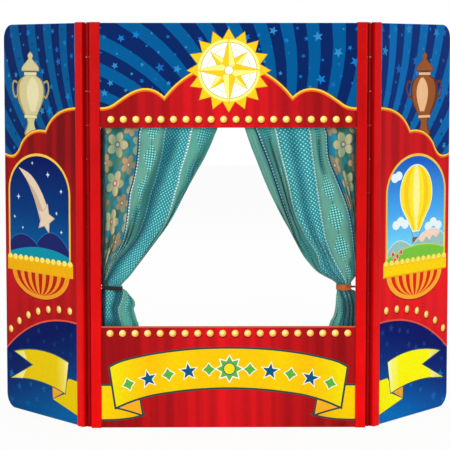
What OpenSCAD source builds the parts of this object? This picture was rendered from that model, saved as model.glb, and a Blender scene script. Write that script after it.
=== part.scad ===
// Tabletop puppet theatre: three printed boards joined by two pinned edge hinges, with a curtained
// stage opening in the middle board. The front faces -Y, +Z is up, millimetres throughout.
// The origin is the middle of the centre board's lower edge.

/* [Boards] */
// Height of the three boards
board_h = 606; // [520:1:700]
// Thickness of the boards
board_t = 3; // [3:0.5:4]
// Thickness of the printed facing
print_t = 0.2; // [0.1:0.05:0.4]
// Width of a wing from its fold axis to its outer edge
wing_w = 207.5; // [160:0.5:208]
// Radius of a wing's two outer corners
wing_corner_r = 22; // [4:1:30]

/* [Stage opening] */
// Height of the opening's lower edge above the table
opening_low = 153.5; // [120:0.5:200]
// Height of the opening's upper edge above the table
opening_high = 451; // [400:0.5:480]

/* [Folds] */
// Distance of each fold axis from the middle of the theatre
fold_x = 208.5; // [208.5:0.5:230]
// Angle by which each wing is folded back at rest
fold_angle = 49; // [0:1:90]
// Number of hinge knuckles along one fold
knuckle_count = 12; // [8:2:20]
// Outer radius of a hinge knuckle
knuckle_r = 3.7; // [3:0.1:3.8]
// Radius of the hinge pin
pin_r = 1.25; // [1:0.05:1.5]

/* [Edge channels] */
// Width of an edge channel
channel_w = 15.7; // [13:0.1:18]
// Depth of an edge channel, front to back
channel_d = 9; // [9:0.5:10]
// Height by which a channel stands above the boards
channel_rise = 1.2; // [0:0.2:3]
// Radius of a channel's two front corners
channel_r = 3; // [1:0.2:4]

/* [Curtains] */
// Height of the curtain rod's axis
rod_z = 466; // [456:1:480]
// Radius of the curtain rod
rod_r = 2; // [1.5:0.1:2.5]
// Thickness of the bulk that a gathered curtain takes up
curtain_t = 10; // [6:0.5:11]
// Height of the two tie-backs
tie_z = 212; // [200:1:230]

/* [Hidden] */

round_fn = 48;
LEFT = -1;
RIGHT = 1;

// Channel section, measured outward from the fold axis
channel_gap = 2.5;
channel_base_t = 3;
channel_back = board_t / 2 + 2.7;
channel_front = channel_back - channel_d;
channel_h = board_h + channel_rise;
slot_start = channel_gap + channel_base_t;
channel_end = channel_gap + channel_w;

// The fold axis lies behind the channels, so the wings fold back flat
fold_y = channel_back + 3;
running_gap = 0.05;
knuckle_pitch = board_h / knuckle_count;
knuckle_gap = 0.4;
lip_gap = 0.15;
pin_head_r = 2.6;
pin_head_h = 1;
pin_low = 1;
web_end = 7;
web_drop = 0.6;

centre_half_w = fold_x - slot_start;
opening_half_w = fold_x - channel_end + 0.9;
print_rise = 0.4;

// Curtain hardware sits on the backs of the centre channels
bracket_inset = 12.5;
bracket_x = fold_x - bracket_inset;
bracket_w = 9;
bracket_block_h = 8;
bracket_plate_h = 27;
bracket_plate_t = 1.6;
bracket_screw_z = 9;
rod_y = channel_back + 3.2;
rod_end_gap = 0.8;
rod_clearance = 0.08;
rod_half = bracket_x + bracket_w / 2 - 1.6;
screw_r = 1;
screw_len = 3.4;
screw_head_r = 2.1;
screw_head_h = 1.1;

// A curtain's bulk lies behind the centre board, around the rod
curtain_y = rod_y - curtain_t / 2 + 0.2;
curtain_top = rod_z + 9;
curtain_bottom = 118;
curtain_outer_x = fold_x - channel_end - 0.3;
pocket_gap = 0.2;
waist_h = 9;
band_gap = 0.15;
band_t = 1.2;
left_band_h = 6;
right_band_h = 8.5;
loop_cord_r = 0.7;
loop_bite = 0.8;
loop_gap = 0.4;
curve_steps = 8;

// Tie-back hooks
hook_inset = 10;
hook_x = fold_x - hook_inset;
hook_disc_r = 3.5;
hook_disc_t = 1.2;
hook_shank_r = 1.1;
hook_shank_len = 4.8;
hook_stud_len = 2.4;
hook_head_r = 2.3;
hook_head_h = 1.3;

// The drape's scalloped upper edge, outward from the middle of the theatre: ends and bends by turns
centre_edge = [
  [0, 547], [60, 547], [94, 491], [122, 518], [150, 500.5], [164, 491.7], [180, 480.2],
  [190, 474.5], [fold_x, 474.5]
];
// The same on a wing, outward from its fold axis
wing_edge = [
  [0, 480], [72, 484], [99, 443], [140, 447], [163, 420], [176, 400], [190, 396.5],
  [198, 396.5], [wing_w, 399]
];

// Low arch on a wing, outward from its fold axis
arch_start = [0, 151];
arch_bend = [136, 163];
arch_end = [wing_w, 88];

function quad_curve(a, b, c, n) =
  [for (i = [0:n]) let (t = i / n) (1 - t) * (1 - t) * a + 2 * t * (1 - t) * b + t * t * c];

// Curves joined end to end, from a list of ends and bends by turns
function edge_piece(a, b, c) =
  [for (i = [1:curve_steps]) quad_curve(a, b, c, curve_steps)[i]];
function edge_curve(points) =
  concat(
    [points[0]],
    [for (i = [2:2:len(points) - 1]) each edge_piece(points[i - 2], points[i - 1], points[i])]
  );

// Inner edge of each curtain above its waist and flare below it, as (x, z) points from the top
left_edge = [
  [-16, opening_high], [-26.8, 424], [-35.7, 406], [-46, 388], [-56, 370], [-74, 334.5],
  [-83.6, 316.5], [-95, 298.5], [-108.5, 280.5], [-122, 262.5], [-135.6, 244.6], [-147, 229.5]
];
left_flare = [
  [-152.5, 205.5], [-148, 199], [-144, 195], [-140.6, 189.5], [-140.2, 184], [-142, 179.5],
  [-140, 171.5], [-137.5, 162], [-134.8, 153.5], [-132.5, curtain_bottom]
];
right_edge = [
  [23.8, opening_high], [33.2, 424], [44, 397], [54.6, 370.5], [66.8, 343.5], [80.9, 316.5],
  [91.2, 298.5], [100.3, 280.5], [109.9, 262.6], [116, 253.6], [123.3, 244.6], [131.9, 235.6],
  [140.8, 229.6], [150, 225], [157.5, 220.7]
];
right_flare = [
  [162.3, 200], [161.6, 188], [160, 176], [157.2, 166.5], [152, 155.5], [146, curtain_bottom]
];
// Inner and outer side of each curtain's waist, outward from the middle
left_waist = [160, curtain_outer_x - 1.8];
right_waist = [163, 183];

// Places its children on a wing, in a frame whose X runs outward from the fold axis
module on_wing(side) {
  mirror([side == LEFT ? 1 : 0, 0, 0])
    translate([fold_x, fold_y, 0])
      rotate([0, 0, fold_angle])
        children();
}

// Places its children on the centre's edge, in a frame whose X runs from the fold axis to the middle
module on_centre(side) {
  mirror([side == RIGHT ? 1 : 0, 0, 0])
    translate([-fold_x, fold_y, 0])
      children();
}

// Stands a drawing in X and Z up as a plate from y to y + t
module upright(y, t) {
  translate([0, y + t, 0])
    rotate([90, 0, 0])
      linear_extrude(height = t)
        children();
}

// Outline of the centre board with its stage opening
module centre_outline(low) {
  difference() {
    translate([-centre_half_w, low])
      square([2 * centre_half_w, board_h - low]);
    translate([-opening_half_w, opening_low])
      square([2 * opening_half_w, opening_high - opening_low]);
  }
}

// Outline of a wing with its two round outer corners
module wing_outline(low) {
  r = wing_corner_r;
  translate([slot_start, low])
    square([wing_w - r - slot_start, board_h - low]);
  translate([slot_start, r])
    square([wing_w - slot_start, board_h - 2 * r]);
  for (z = [r, board_h - r])
    intersection() {
      translate([wing_w - r, z])
        circle(r = r, $fn = round_fn);
      translate([slot_start, low])
        square([wing_w, board_h]);
    }
}

module board_colour() {
  color([0.62, 0.46, 0.30])
    children();
}

module centre_board() {
  board_colour()
    upright(-board_t / 2, board_t)
      centre_outline(0);
}

module wing_board(side) {
  board_colour()
    on_wing(side)
      upright(-fold_y - board_t / 2, board_t)
        wing_outline(0);
}

// Area of the centre board's facing above the red drape's edge
module centre_sky() {
  edge = edge_curve(centre_edge);
  mirrored_edge = [for (i = [len(edge) - 1:-1:0]) [-edge[i][0], edge[i][1]]];
  polygon(concat(mirrored_edge, edge, [[fold_x, board_h], [-fold_x, board_h]]));
}

// Area of a wing's facing above the red drape's edge
module wing_sky() {
  polygon(concat([[0, board_h]], edge_curve(wing_edge), [[wing_w, board_h]]));
}

// Area of a wing's facing under the low arch that ends the red drape
module wing_base() {
  polygon(concat([[0, 0]], quad_curve(arch_start, arch_bend, arch_end, 2 * curve_steps), [[wing_w, 0]]));
}

module drape_colour() {
  color([0.80, 0.10, 0.12])
    children();
}

module sky_colour() {
  color([0.06, 0.20, 0.47])
    children();
}

module centre_print() {
  sky_colour()
    upright(-board_t / 2 - print_t, print_t)
      intersection() {
        centre_outline(print_rise);
        centre_sky();
      }
  drape_colour()
    upright(-board_t / 2 - print_t, print_t)
      difference() {
        centre_outline(print_rise);
        centre_sky();
      }
}

module wing_print(side) {
  y = -fold_y - board_t / 2 - print_t;
  on_wing(side) {
    sky_colour()
      upright(y, print_t)
        intersection() {
          wing_outline(print_rise);
          union() {
            wing_sky();
            wing_base();
          }
        }
    drape_colour()
      upright(y, print_t)
        difference() {
          wing_outline(print_rise);
          wing_sky();
          wing_base();
        }
  }
}

// Section of an edge channel: round front corners and a slot that holds a board and its print
module channel_section() {
  front = channel_front - fold_y;
  difference() {
    union() {
      translate([channel_gap + channel_r, front])
        square([channel_w - 2 * channel_r, channel_d]);
      translate([channel_gap, front + channel_r])
        square([channel_w, channel_d - channel_r]);
      for (x = [channel_gap + channel_r, channel_end - channel_r])
        translate([x, front + channel_r])
          circle(r = channel_r, $fn = round_fn);
    }
    translate([slot_start, -fold_y - board_t / 2 - print_t])
      square([channel_w, board_t + print_t]);
  }
}

// Web that joins a knuckle to the back of its channel
module knuckle_web() {
  back = channel_back - fold_y;
  polygon([
    [0, 0], [web_drop, back], [channel_gap, back - web_drop],
    [web_end, back - web_drop], [web_end, back], [knuckle_r, 0]
  ]);
}

// Rib behind a channel that follows the other channel's knuckle, so no light passes the fold
module knuckle_lip() {
  back = channel_back - fold_y;
  difference() {
    polygon([
      [channel_gap, back - web_drop], [web_end, back - web_drop], [web_end, back],
      [knuckle_r, 0], [channel_gap, 0]
    ]);
    circle(r = knuckle_r + lip_gap, $fn = round_fn);
  }
}

// An edge channel with every second knuckle of its fold, from the first or from the second
module channel(first, bore_r, screw_holes) {
  color([0.82, 0.06, 0.08])
    difference() {
      union() {
        linear_extrude(height = channel_h)
          channel_section();
        for (i = [first:2:knuckle_count - 1])
          translate([0, 0, i * knuckle_pitch + knuckle_gap / 2]) {
            cylinder(r = knuckle_r, h = knuckle_pitch - knuckle_gap, $fn = round_fn);
            linear_extrude(height = knuckle_pitch - knuckle_gap)
              knuckle_web();
          }
        for (i = [1 - first:2:knuckle_count - 1])
          translate([0, 0, i * knuckle_pitch])
            linear_extrude(height = knuckle_pitch)
              knuckle_lip();
      }
      translate([0, 0, -1])
        cylinder(r = bore_r, h = channel_h + 2, $fn = round_fn);
      if (screw_holes) {
        for (z = [rod_z - bracket_screw_z, rod_z + bracket_screw_z])
          translate([fold_x - bracket_x, channel_back - fold_y + 1, z])
            rotate([90, 0, 0])
              cylinder(r = screw_r, h = screw_len, $fn = round_fn);
        translate([fold_x - hook_x, channel_back - fold_y + 1, tie_z])
          rotate([90, 0, 0])
            cylinder(r = hook_shank_r, h = hook_stud_len + 1, $fn = round_fn);
      }
    }
}

module centre_channel(side) {
  on_centre(side)
    channel(0, pin_r, true);
}

module wing_channel(side) {
  on_wing(side)
    channel(1, pin_r + running_gap, false);
}

// Hinge pin with a flat head that rests on the top knuckle
module hinge_pin(side) {
  color([0.70, 0.71, 0.73])
    translate([side * fold_x, fold_y, 0]) {
      translate([0, 0, pin_low])
        cylinder(r = pin_r, h = board_h - pin_low, $fn = round_fn);
      translate([0, 0, board_h])
        cylinder(r = pin_head_r, h = pin_head_h, $fn = round_fn);
    }
}

module curtain_rod() {
  color([0.75, 0.76, 0.78])
    translate([-rod_half, rod_y, rod_z])
      rotate([0, 90, 0])
        cylinder(r = rod_r, h = 2 * rod_half, $fn = round_fn);
}

// Socket block that carries one end of the rod, with a plate for two screws
module rod_bracket(side) {
  color([0.92, 0.92, 0.90])
    difference() {
      translate([side * bracket_x - bracket_w / 2, channel_back, rod_z]) {
        translate([0, 0, -bracket_plate_h / 2])
          cube([bracket_w, bracket_plate_t, bracket_plate_h]);
        translate([0, 0, -bracket_block_h / 2])
          cube([bracket_w, 2 * (rod_y - channel_back), bracket_block_h]);
      }
      translate([side * (bracket_x - bracket_w / 2 - 1), rod_y, rod_z])
        rotate([0, side * 90, 0])
          cylinder(r = rod_r + rod_clearance, h = bracket_w - rod_end_gap + 1, $fn = round_fn);
      for (z = [-bracket_screw_z, bracket_screw_z])
        translate([side * bracket_x, channel_back + bracket_plate_t + 1, rod_z + z])
          rotate([90, 0, 0])
            cylinder(r = screw_r + 0.3, h = bracket_plate_t + 2, $fn = round_fn);
    }
}

module bracket_screws() {
  color([0.78, 0.78, 0.80])
    for (side = [LEFT, RIGHT], z = [-bracket_screw_z, bracket_screw_z])
      translate([side * bracket_x, channel_back + bracket_plate_t, rod_z + z])
        rotate([90, 0, 0]) {
          cylinder(r = screw_r, h = screw_len, $fn = round_fn);
          translate([0, 0, -screw_head_h])
            cylinder(r = screw_head_r, h = screw_head_h, $fn = round_fn);
        }
}

// Bulk of a gathered curtain: header on the rod, one curved inner edge, waist and flared tail
module curtain(side, edge, waist, flare) {
  outer = side * curtain_outer_x;
  waist_in = side * waist[0];
  waist_out = side * waist[1];
  waist_high = tie_z + waist_h / 2;
  waist_low = tie_z - waist_h / 2;
  color([0.18, 0.56, 0.55])
    difference() {
      upright(curtain_y, curtain_t)
        polygon(concat(
          [[outer, curtain_top], [edge[0][0], curtain_top]],
          edge,
          [[waist_in, waist_high], [waist_in, waist_low]],
          flare,
          [[outer, curtain_bottom], [outer, tie_z - waist_h]],
          [[waist_out, waist_low], [waist_out, waist_high], [outer, tie_z + 2 * waist_h]]
        ));
      translate([-rod_half, rod_y, rod_z])
        rotate([0, 90, 0])
          cylinder(r = rod_r + pocket_gap, h = 2 * rod_half, $fn = round_fn);
    }
}

// Flat band around a curtain's waist
module waist_band(side, waist, band_h) {
  gap = band_gap;
  low_x = min(side * waist[0], side * waist[1]) - gap;
  inner_w = waist[1] - waist[0] + 2 * gap;
  inner_d = curtain_t + 2 * gap;
  translate([0, 0, tie_z - band_h / 2])
    linear_extrude(height = band_h)
      difference() {
        translate([low_x - band_t, curtain_y - gap - band_t])
          square([inner_w + 2 * band_t, inner_d + 2 * band_t]);
        translate([low_x, curtain_y - gap])
          square([inner_w, inner_d]);
      }
}

// Cord loop that runs from a waist band to a hook, and bites into the band where they are one piece
module hook_loop(side, waist, bite) {
  loop_in = hook_shank_r + loop_gap;
  loop_out = loop_in + 2 * loop_cord_r;
  far_x = hook_x - loop_gap;
  near_x = waist[1] + band_gap + band_t + loop_out - bite;
  translate([0, rod_y + loop_cord_r, tie_z])
    rotate([90, 0, 0])
      linear_extrude(height = 2 * loop_cord_r)
        difference() {
          union() {
            translate([min(side * near_x, side * far_x), -loop_out])
              square([far_x - near_x, 2 * loop_out]);
            for (x = [near_x, far_x])
              translate([side * x, 0])
                circle(r = loop_out, $fn = round_fn);
          }
          translate([min(side * near_x, side * far_x), -loop_in])
            square([far_x - near_x, 2 * loop_in]);
          for (x = [near_x, far_x])
            translate([side * x, 0])
              circle(r = loop_in, $fn = round_fn);
        }
}

module left_tieback() {
  color([0.10, 0.10, 0.11]) {
    waist_band(LEFT, left_waist, left_band_h);
    hook_loop(LEFT, left_waist, loop_bite);
  }
}

module right_tieback() {
  color([0.60, 0.30, 0.14])
    waist_band(RIGHT, right_waist, right_band_h);
}

module right_tieback_cord() {
  color([0.10, 0.10, 0.11])
    hook_loop(RIGHT, right_waist, 0);
}

// Hook with a stud in the channel's back, a disc, a shank and a flat head
module tieback_hook(side) {
  color([0.78, 0.78, 0.80])
    translate([side * hook_x, channel_back, tie_z])
      rotate([-90, 0, 0]) {
        translate([0, 0, -hook_stud_len])
          cylinder(r = hook_shank_r, h = hook_stud_len + hook_shank_len, $fn = round_fn);
        cylinder(r = hook_disc_r, h = hook_disc_t, $fn = round_fn);
        translate([0, 0, hook_shank_len])
          cylinder(r = hook_head_r, h = hook_head_h, $fn = round_fn);
      }
}

centre_board();
wing_board(LEFT);  // left_wing_board
wing_board(RIGHT);  // right_wing_board
centre_print();
wing_print(LEFT);  // left_wing_print
wing_print(RIGHT);  // right_wing_print
centre_channel(LEFT);  // left_centre_channel
centre_channel(RIGHT);  // right_centre_channel
wing_channel(LEFT);  // left_wing_channel
wing_channel(RIGHT);  // right_wing_channel
hinge_pin(LEFT);  // left_hinge_pin
hinge_pin(RIGHT);  // right_hinge_pin
curtain_rod();
rod_bracket(LEFT);  // left_rod_bracket
rod_bracket(RIGHT);  // right_rod_bracket
bracket_screws();
curtain(LEFT, left_edge, left_waist, left_flare);  // left_curtain
curtain(RIGHT, right_edge, right_waist, right_flare);  // right_curtain
left_tieback();
right_tieback();
right_tieback_cord();
tieback_hook(LEFT);  // left_tieback_hook
tieback_hook(RIGHT);  // right_tieback_hook
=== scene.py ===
"""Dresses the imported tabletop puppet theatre: printed facings, curtains, tie-backs and finishes.

Metres throughout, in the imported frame: the front faces -Y and +Z is up. Artwork is drawn in
millimetres on each board's own plane, with x (centre) or u (wings, outward from the fold axis)
across and z up. The colours of the print, cloth and plastic are written as 8-bit sRGB.
"""

import math
import random

import bpy
import numpy as np
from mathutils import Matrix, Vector
from mathutils.geometry import delaunay_2d_cdt


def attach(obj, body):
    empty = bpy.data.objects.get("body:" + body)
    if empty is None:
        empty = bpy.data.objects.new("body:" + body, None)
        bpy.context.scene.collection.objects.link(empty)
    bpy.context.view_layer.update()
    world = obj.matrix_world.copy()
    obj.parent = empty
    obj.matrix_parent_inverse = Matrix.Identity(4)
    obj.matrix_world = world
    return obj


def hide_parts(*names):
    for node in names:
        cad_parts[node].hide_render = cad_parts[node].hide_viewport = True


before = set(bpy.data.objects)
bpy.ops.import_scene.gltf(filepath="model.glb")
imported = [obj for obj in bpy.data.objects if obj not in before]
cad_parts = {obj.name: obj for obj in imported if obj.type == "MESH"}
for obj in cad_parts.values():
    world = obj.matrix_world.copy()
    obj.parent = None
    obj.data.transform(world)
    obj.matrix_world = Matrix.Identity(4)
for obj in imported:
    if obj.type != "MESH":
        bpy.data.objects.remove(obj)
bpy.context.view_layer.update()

MM = 0.001
LEFT = -1
RIGHT = 1
SIDES = {LEFT: "left", RIGHT: "right"}

# Dimensions shared with the construction, in millimetres
FOLD_X = 208.5
FOLD_Y = 7.2
FOLD_ANGLE = math.radians(49)
BOARD_H = 606
BOARD_FRONT = -1.5
PRINT_FRONT = -1.7
PRINT_LOW = 0.4
CENTRE_HALF_W = 203
OPENING_HALF_W = 191.2
OPENING_LOW = 153.5
OPENING_HIGH = 451
WING_IN = 5.5
WING_W = 207.5
WING_CORNER_R = 22
ROD_Y = 7.4
TIE_Z = 212


# Colours and shader nodes


def srgb(red, green, blue):
    """Linear colour of an 8-bit sRGB one."""
    return tuple(
        c / 12.92 if c <= 0.04045 else ((c + 0.055) / 1.055) ** 2.4
        for c in (red / 255, green / 255, blue / 255)
    )


class Value:
    """A shader node's output. Each operator or call on it adds one node to the same tree."""

    def __init__(self, nodes, socket):
        self.nodes = nodes
        self.socket = socket

    def math(self, operation, *others):
        return self.nodes.node("Math", (self, *others), operation=operation)

    def __add__(self, other):
        return self.math("ADD", other)

    def __sub__(self, other):
        return self.math("SUBTRACT", other)

    def __mul__(self, other):
        return self.math("MULTIPLY", other)

    def __truediv__(self, other):
        return self.math("DIVIDE", other)

    def __lt__(self, other):
        return self.math("LESS_THAN", other)

    def __gt__(self, other):
        return self.math("GREATER_THAN", other)

    def __abs__(self):
        return self.math("ABSOLUTE")

    def near(self, middle, half):
        """1 within half of the middle, and 0 outside."""
        return self.math("COMPARE", middle, half)

    def remap(self, low, high, to_low=0.0, to_high=1.0, smooth=True):
        kind = "SMOOTHSTEP" if smooth else "LINEAR"
        return self.nodes.node("MapRange", (self, low, high, to_low, to_high), interpolation_type=kind)

    def ramp(self, stops, linear=False):
        """Colour ramp through (position, colour) stops."""
        made = self.nodes.tree.nodes.new("ShaderNodeValToRGB")
        elements = made.color_ramp.elements
        while len(elements) < len(stops):
            elements.new(1)
        for element, (position, colour) in zip(elements, stops):
            element.position = position
            element.color = (*(colour if linear else srgb(*colour)), 1)
        self.nodes.plug(made.inputs[0], self)
        return Value(self.nodes, made.outputs[0])


def distance(across, along):
    """Length of a step in two directions."""
    return (across.math("POWER", 2.0) + along.math("POWER", 2.0)).math("SQRT")


def off_middle(value, pitch):
    """How far a value lies from the middle of its repeat, in repeats."""
    return abs((value / pitch).math("FRACT") - 0.5)


class Nodes:
    """A node tree, with short calls that add nodes and return their outputs."""

    def __init__(self, tree):
        self.tree = tree

    def plug(self, socket, value):
        if isinstance(value, Value):
            self.tree.links.new(value.socket, socket)
        elif value is not None:
            wide = socket.type == "RGBA" and len(value) == 3
            socket.default_value = (*value, 1) if wide else value

    def node(self, kind, inputs=(), output=0, **settings):
        made = self.tree.nodes.new("ShaderNode" + kind)
        for name, value in settings.items():
            setattr(made, name, value)
        for key, value in inputs.items() if isinstance(inputs, dict) else enumerate(inputs):
            self.plug(made.inputs[key], value)
        return Value(self, made.outputs[output])

    def seen_by(self, ray):
        """1 where a ray of this kind looks, such as Camera."""
        return self.node("LightPath", output=f"Is {ray} Ray")


class Finish(Nodes):
    """A Principled material."""

    def __init__(self, name, roughness=0.5, **constants):
        self.material = bpy.data.materials.new(name)
        self.material.use_nodes = True
        super().__init__(self.material.node_tree)
        self.shader = self.tree.nodes["Principled BSDF"]
        self.set(Roughness=roughness, **constants)

    def set(self, **sockets):
        for name, value in sockets.items():
            self.plug(self.shader.inputs[name.replace("_", " ")], value)

    def bump(self, height, depth, strength):
        inputs = {"Height": height, "Distance": depth, "Strength": strength}
        self.set(Normal=self.node("Bump", inputs, output="Normal"))

    def mix(self, factor, first, second):
        """The second colour over the first one."""
        first, second = (c if isinstance(c, Value) else srgb(*c) for c in (first, second))
        return self.node("Mix", {0: factor, 6: first, 7: second}, output=2, data_type="RGBA")

    def times(self, colour, other):
        return self.node("VectorMath", (colour, other), operation="MULTIPLY")

    def tinted(self, colour, amount):
        """The colour made lighter or darker by a factor."""
        return self.times(colour, self.join(amount, amount, amount))

    def noise(self, scale, detail=2.0, roughness=0.5, vector=None):
        inputs = {"Vector": vector or self.place(), "Scale": scale, "Detail": detail, "Roughness": roughness}
        return self.node("TexNoise", inputs)

    def parts(self, vector):
        made = self.tree.nodes.new("ShaderNodeSeparateXYZ")
        self.plug(made.inputs[0], vector)
        return [Value(self, output) for output in made.outputs]

    def join(self, x=0.0, y=0.0, z=0.0):
        return self.node("CombineXYZ", (x, y, z))

    def place(self):
        """Object coordinates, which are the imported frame's own metres."""
        return self.node("TexCoord", output="Object")

    def uv(self):
        return self.parts(self.node("TexCoord", output="UV"))[:2]

    def grain(self, x, y, z, detail=3.0, roughness=0.6):
        """Noise stretched by a scale along each axis, for grain that runs one way."""
        stretched = self.node("Mapping", {"Vector": self.place(), "Scale": (x, y, z)})
        return self.noise(1.0, detail, roughness, stretched)


# Printed finishes: a satin litho print with faint mottling and a fine paper tooth


def painted(name, colour):
    """Print in one colour, or in the one that a call makes from the print's Finish and its UVs."""
    finish = Finish("print_" + name, Specular_IOR_Level=0.03)
    shade = colour(finish, *finish.uv()) if callable(colour) else srgb(*colour)
    mottle = finish.noise(260.0, 3.0, 0.6).remap(0.3, 0.7, 0.965, 1.03)
    finish.set(Base_Color=finish.tinted(shade, mottle))
    finish.set(Roughness=finish.noise(38.0, 3.0, 0.6).remap(0.3, 0.7, 0.36, 0.5))
    finish.bump(finish.noise(2600.0), 0.00003, 0.35)
    return finish.material


def graded(level, stops):
    """Colour that follows (millimetres, colour) stops along the level, which is a call of the UVs."""
    low, high = stops[0][0] * MM, stops[-1][0] * MM
    scaled = [((at * MM - low) / (high - low), colour) for at, colour in stops]
    return lambda finish, across, up: level(across, up).remap(low, high, smooth=False).ramp(scaled)


def upward(across, up):
    return up


def leaning(across, up):
    return up + across * 0.35


def outward(across, up):
    return abs(across)


def own_ramp(stops):
    """Colour across a shape that has UVs of its own, from 0 to 1."""
    return lambda finish, across, up: across.ramp(stops)


def ball(stops):
    """Shaded ball: stops run outward from a highlight up and to the left of its middle."""
    return lambda finish, across, up: (distance(across + 0.3, up - 0.32) / 1.45).ramp(stops)


def drape(rises, pleats, brightest, fade, stops):
    """Soft vertical pleats, dimmer away from the brightest place across it, or up it where it rises."""

    def shade(finish, across, up):
        slant = up * 0.012
        folds = finish.noise(pleats, 1.0, 0.4, finish.join(across + slant, 0.0, 0.37))
        stepped = (folds * 22.0).math("ROUND") / 22.0
        spread = (folds * 0.45 + stepped * 0.55).remap(0.36, 0.64)
        along, beside = (up, across) if rises else (across, up)
        away = abs(along - brightest) + beside * slant
        near = away.remap(0.0, fade, 1.0, 0.0, smooth=False)
        return (spread * 0.34 + near * 0.66).ramp(stops)

    return shade


PAINTS = {
    "sky_dark": (4, 35, 93),
    "sky_band": (0, 84, 141),
    "day_sky_dark": (6, 44, 112),
    "day_sky_band": (2, 101, 170),
    "dusk": graded(leaning, [(30, (0, 97, 162)), (50, (0, 84, 148)), (90, (0, 58, 122)), (115, (0, 38, 102)),
                             (160, (0, 20, 88))]),
    "day_dusk": graded(leaning, [(30, (0, 112, 190)), (50, (0, 96, 178)), (80, (0, 74, 152)),
                                 (110, (0, 44, 124)), (160, (0, 18, 98))]),
    "night": graded(upward, [(243, (0, 92, 154)), (320, (0, 54, 118)), (400, (2, 18, 88))]),
    "day": graded(upward, [(250, (124, 226, 252)), (320, (72, 166, 240)), (400, (20, 92, 196))]),
    "star_bright": (12, 118, 196),
    "star_mid": (22, 98, 176),
    "star_pale": (44, 132, 188),
    "star_faint": (8, 50, 116),
    "star_low": (2, 92, 152),
    "day_star_faint": (16, 56, 134),
    "day_star_low": (4, 102, 184),
    "drape": drape(False, 62.0, 0.0, 0.17, [(0.0, (138, 14, 18)), (0.3, (160, 18, 23)), (0.7, (198, 21, 28)),
                                            (1.0, (222, 24, 32))]),
    "night_drape": drape(True, 56.0, 0.21, 0.2, [(0.0, (116, 12, 16)), (0.17, (133, 14, 18)),
                                                 (0.4, (160, 16, 21)), (1.0, (192, 20, 26))]),
    "day_drape": drape(True, 56.0, 0.21, 0.2, [(0.0, (170, 18, 24)), (0.17, (190, 20, 27)),
                                               (0.4, (208, 22, 30)), (1.0, (240, 26, 33))]),
    "trim_gold": (250, 200, 62),
    "trim_orange": (226, 92, 26),
    "trim_dark": (60, 26, 44),
    "bulb": ball([(0.0, (255, 252, 214)), (0.3, (253, 232, 140)), (0.6, (246, 200, 84)),
                  (0.85, (226, 140, 50))]),
    "bulb_shadow": (128, 10, 18),
    "sill": (206, 92, 48),
    "salmon": (224, 88, 62),
    "outline": (56, 88, 108),
    "banner": graded(outward, [(0, (243, 194, 8)), (48, (242, 196, 8)), (78, (241, 204, 6)),
                               (118, (242, 189, 10)), (148, (238, 204, 8)), (170, (236, 220, 12))]),
    "banner_outline": (42, 72, 72),
    "tail": graded(outward, [(130, (236, 176, 14)), (160, (241, 196, 8)), (190, (243, 210, 6))]),
    "cream": (250, 247, 232),
    "cream_shade": (226, 217, 184),
    "rose_pale": (255, 240, 128),
    "rose_deep": (246, 198, 24),
    "rose_line": (196, 152, 40),
    "ribbon": (250, 222, 10),
    "ribbon_fold": (242, 172, 34),
    "wing_ribbon": (234, 202, 2),
    "day_wing_ribbon": (255, 250, 2),
    "tip": own_ramp([(0.0, (244, 240, 140)), (1.0, (228, 210, 70))]),
    "curl": own_ramp([(0.0, (248, 240, 150)), (0.25, (240, 222, 84)), (1.0, (234, 202, 2))]),
    "day_curl": own_ramp([(0.0, (254, 255, 200)), (0.3, (255, 253, 110)), (1.0, (255, 250, 2))]),
    "motif_blue": (10, 86, 132),
    "motif_green": (88, 176, 62),
    "frame_gold": (244, 196, 72),
    "night_hill": (27, 34, 98),
    "night_line": (44, 118, 186),
    "night_meadow": (6, 142, 162),
    "comet": (226, 205, 176),
    "comet_shade": (200, 172, 144),
    "sparkle": (206, 230, 250),
    "day_hill": (150, 196, 190),
    "day_cap": (246, 214, 196),
    "meadow": (120, 196, 62),
    "meadow_light": (196, 220, 92),
    "cloud": (232, 246, 252),
    "balloon": (255, 232, 40),
    "balloon_pale": (255, 247, 150),
    "balloon_deep": (250, 206, 30),
    "basket": (150, 92, 44),
    "blossom": (226, 62, 96),
    "slab": (238, 175, 8),
    "day_slab": (252, 213, 6),
    "slab_edge": (232, 170, 20),
    "bead": (255, 232, 96),
    "bowl": (238, 150, 38),
    "day_bowl": (254, 170, 46),
    "bowl_gap": (178, 32, 8),
    "day_bowl_gap": (222, 34, 12),
    "stone": (208, 198, 146),
    "stone_light": (226, 218, 170),
    "stone_shade": (164, 154, 100),
    "clay": (150, 84, 40),
    "clay_light": (236, 186, 140),
    "clay_shade": (104, 54, 26),
}


# Finishes of the construction: fibreboard, moulded and extruded plastic, steel


def fibreboard():
    """Brown hardboard: cloudy tone, short pale and dark fibres and a faint tooth."""
    finish = Finish("fibreboard", 0.72, Specular_IOR_Level=0.3)
    cloud = finish.noise(9.0, 4.0, 0.6)
    fibre = finish.grain(1500, 1500, 420, roughness=0.65)
    cross = finish.grain(460, 1500, 1600)
    tone = cloud * 0.5 + fibre * 0.3 + cross * 0.2
    wood = tone.ramp([(0.3, (146, 106, 68)), (0.5, (166, 126, 84)), (0.7, (184, 146, 102))])
    fleck = finish.noise(620.0, 1.0).remap(0.3, 0.36, 1.0, 0.0)
    finish.set(Base_Color=finish.mix(fleck * 0.45, wood, (92, 62, 38)))
    finish.set(Roughness=cloud.remap(0.3, 0.7, 0.6, 0.8))
    finish.bump(fibre + cross, 0.00009, 0.6)
    return finish.material


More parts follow.
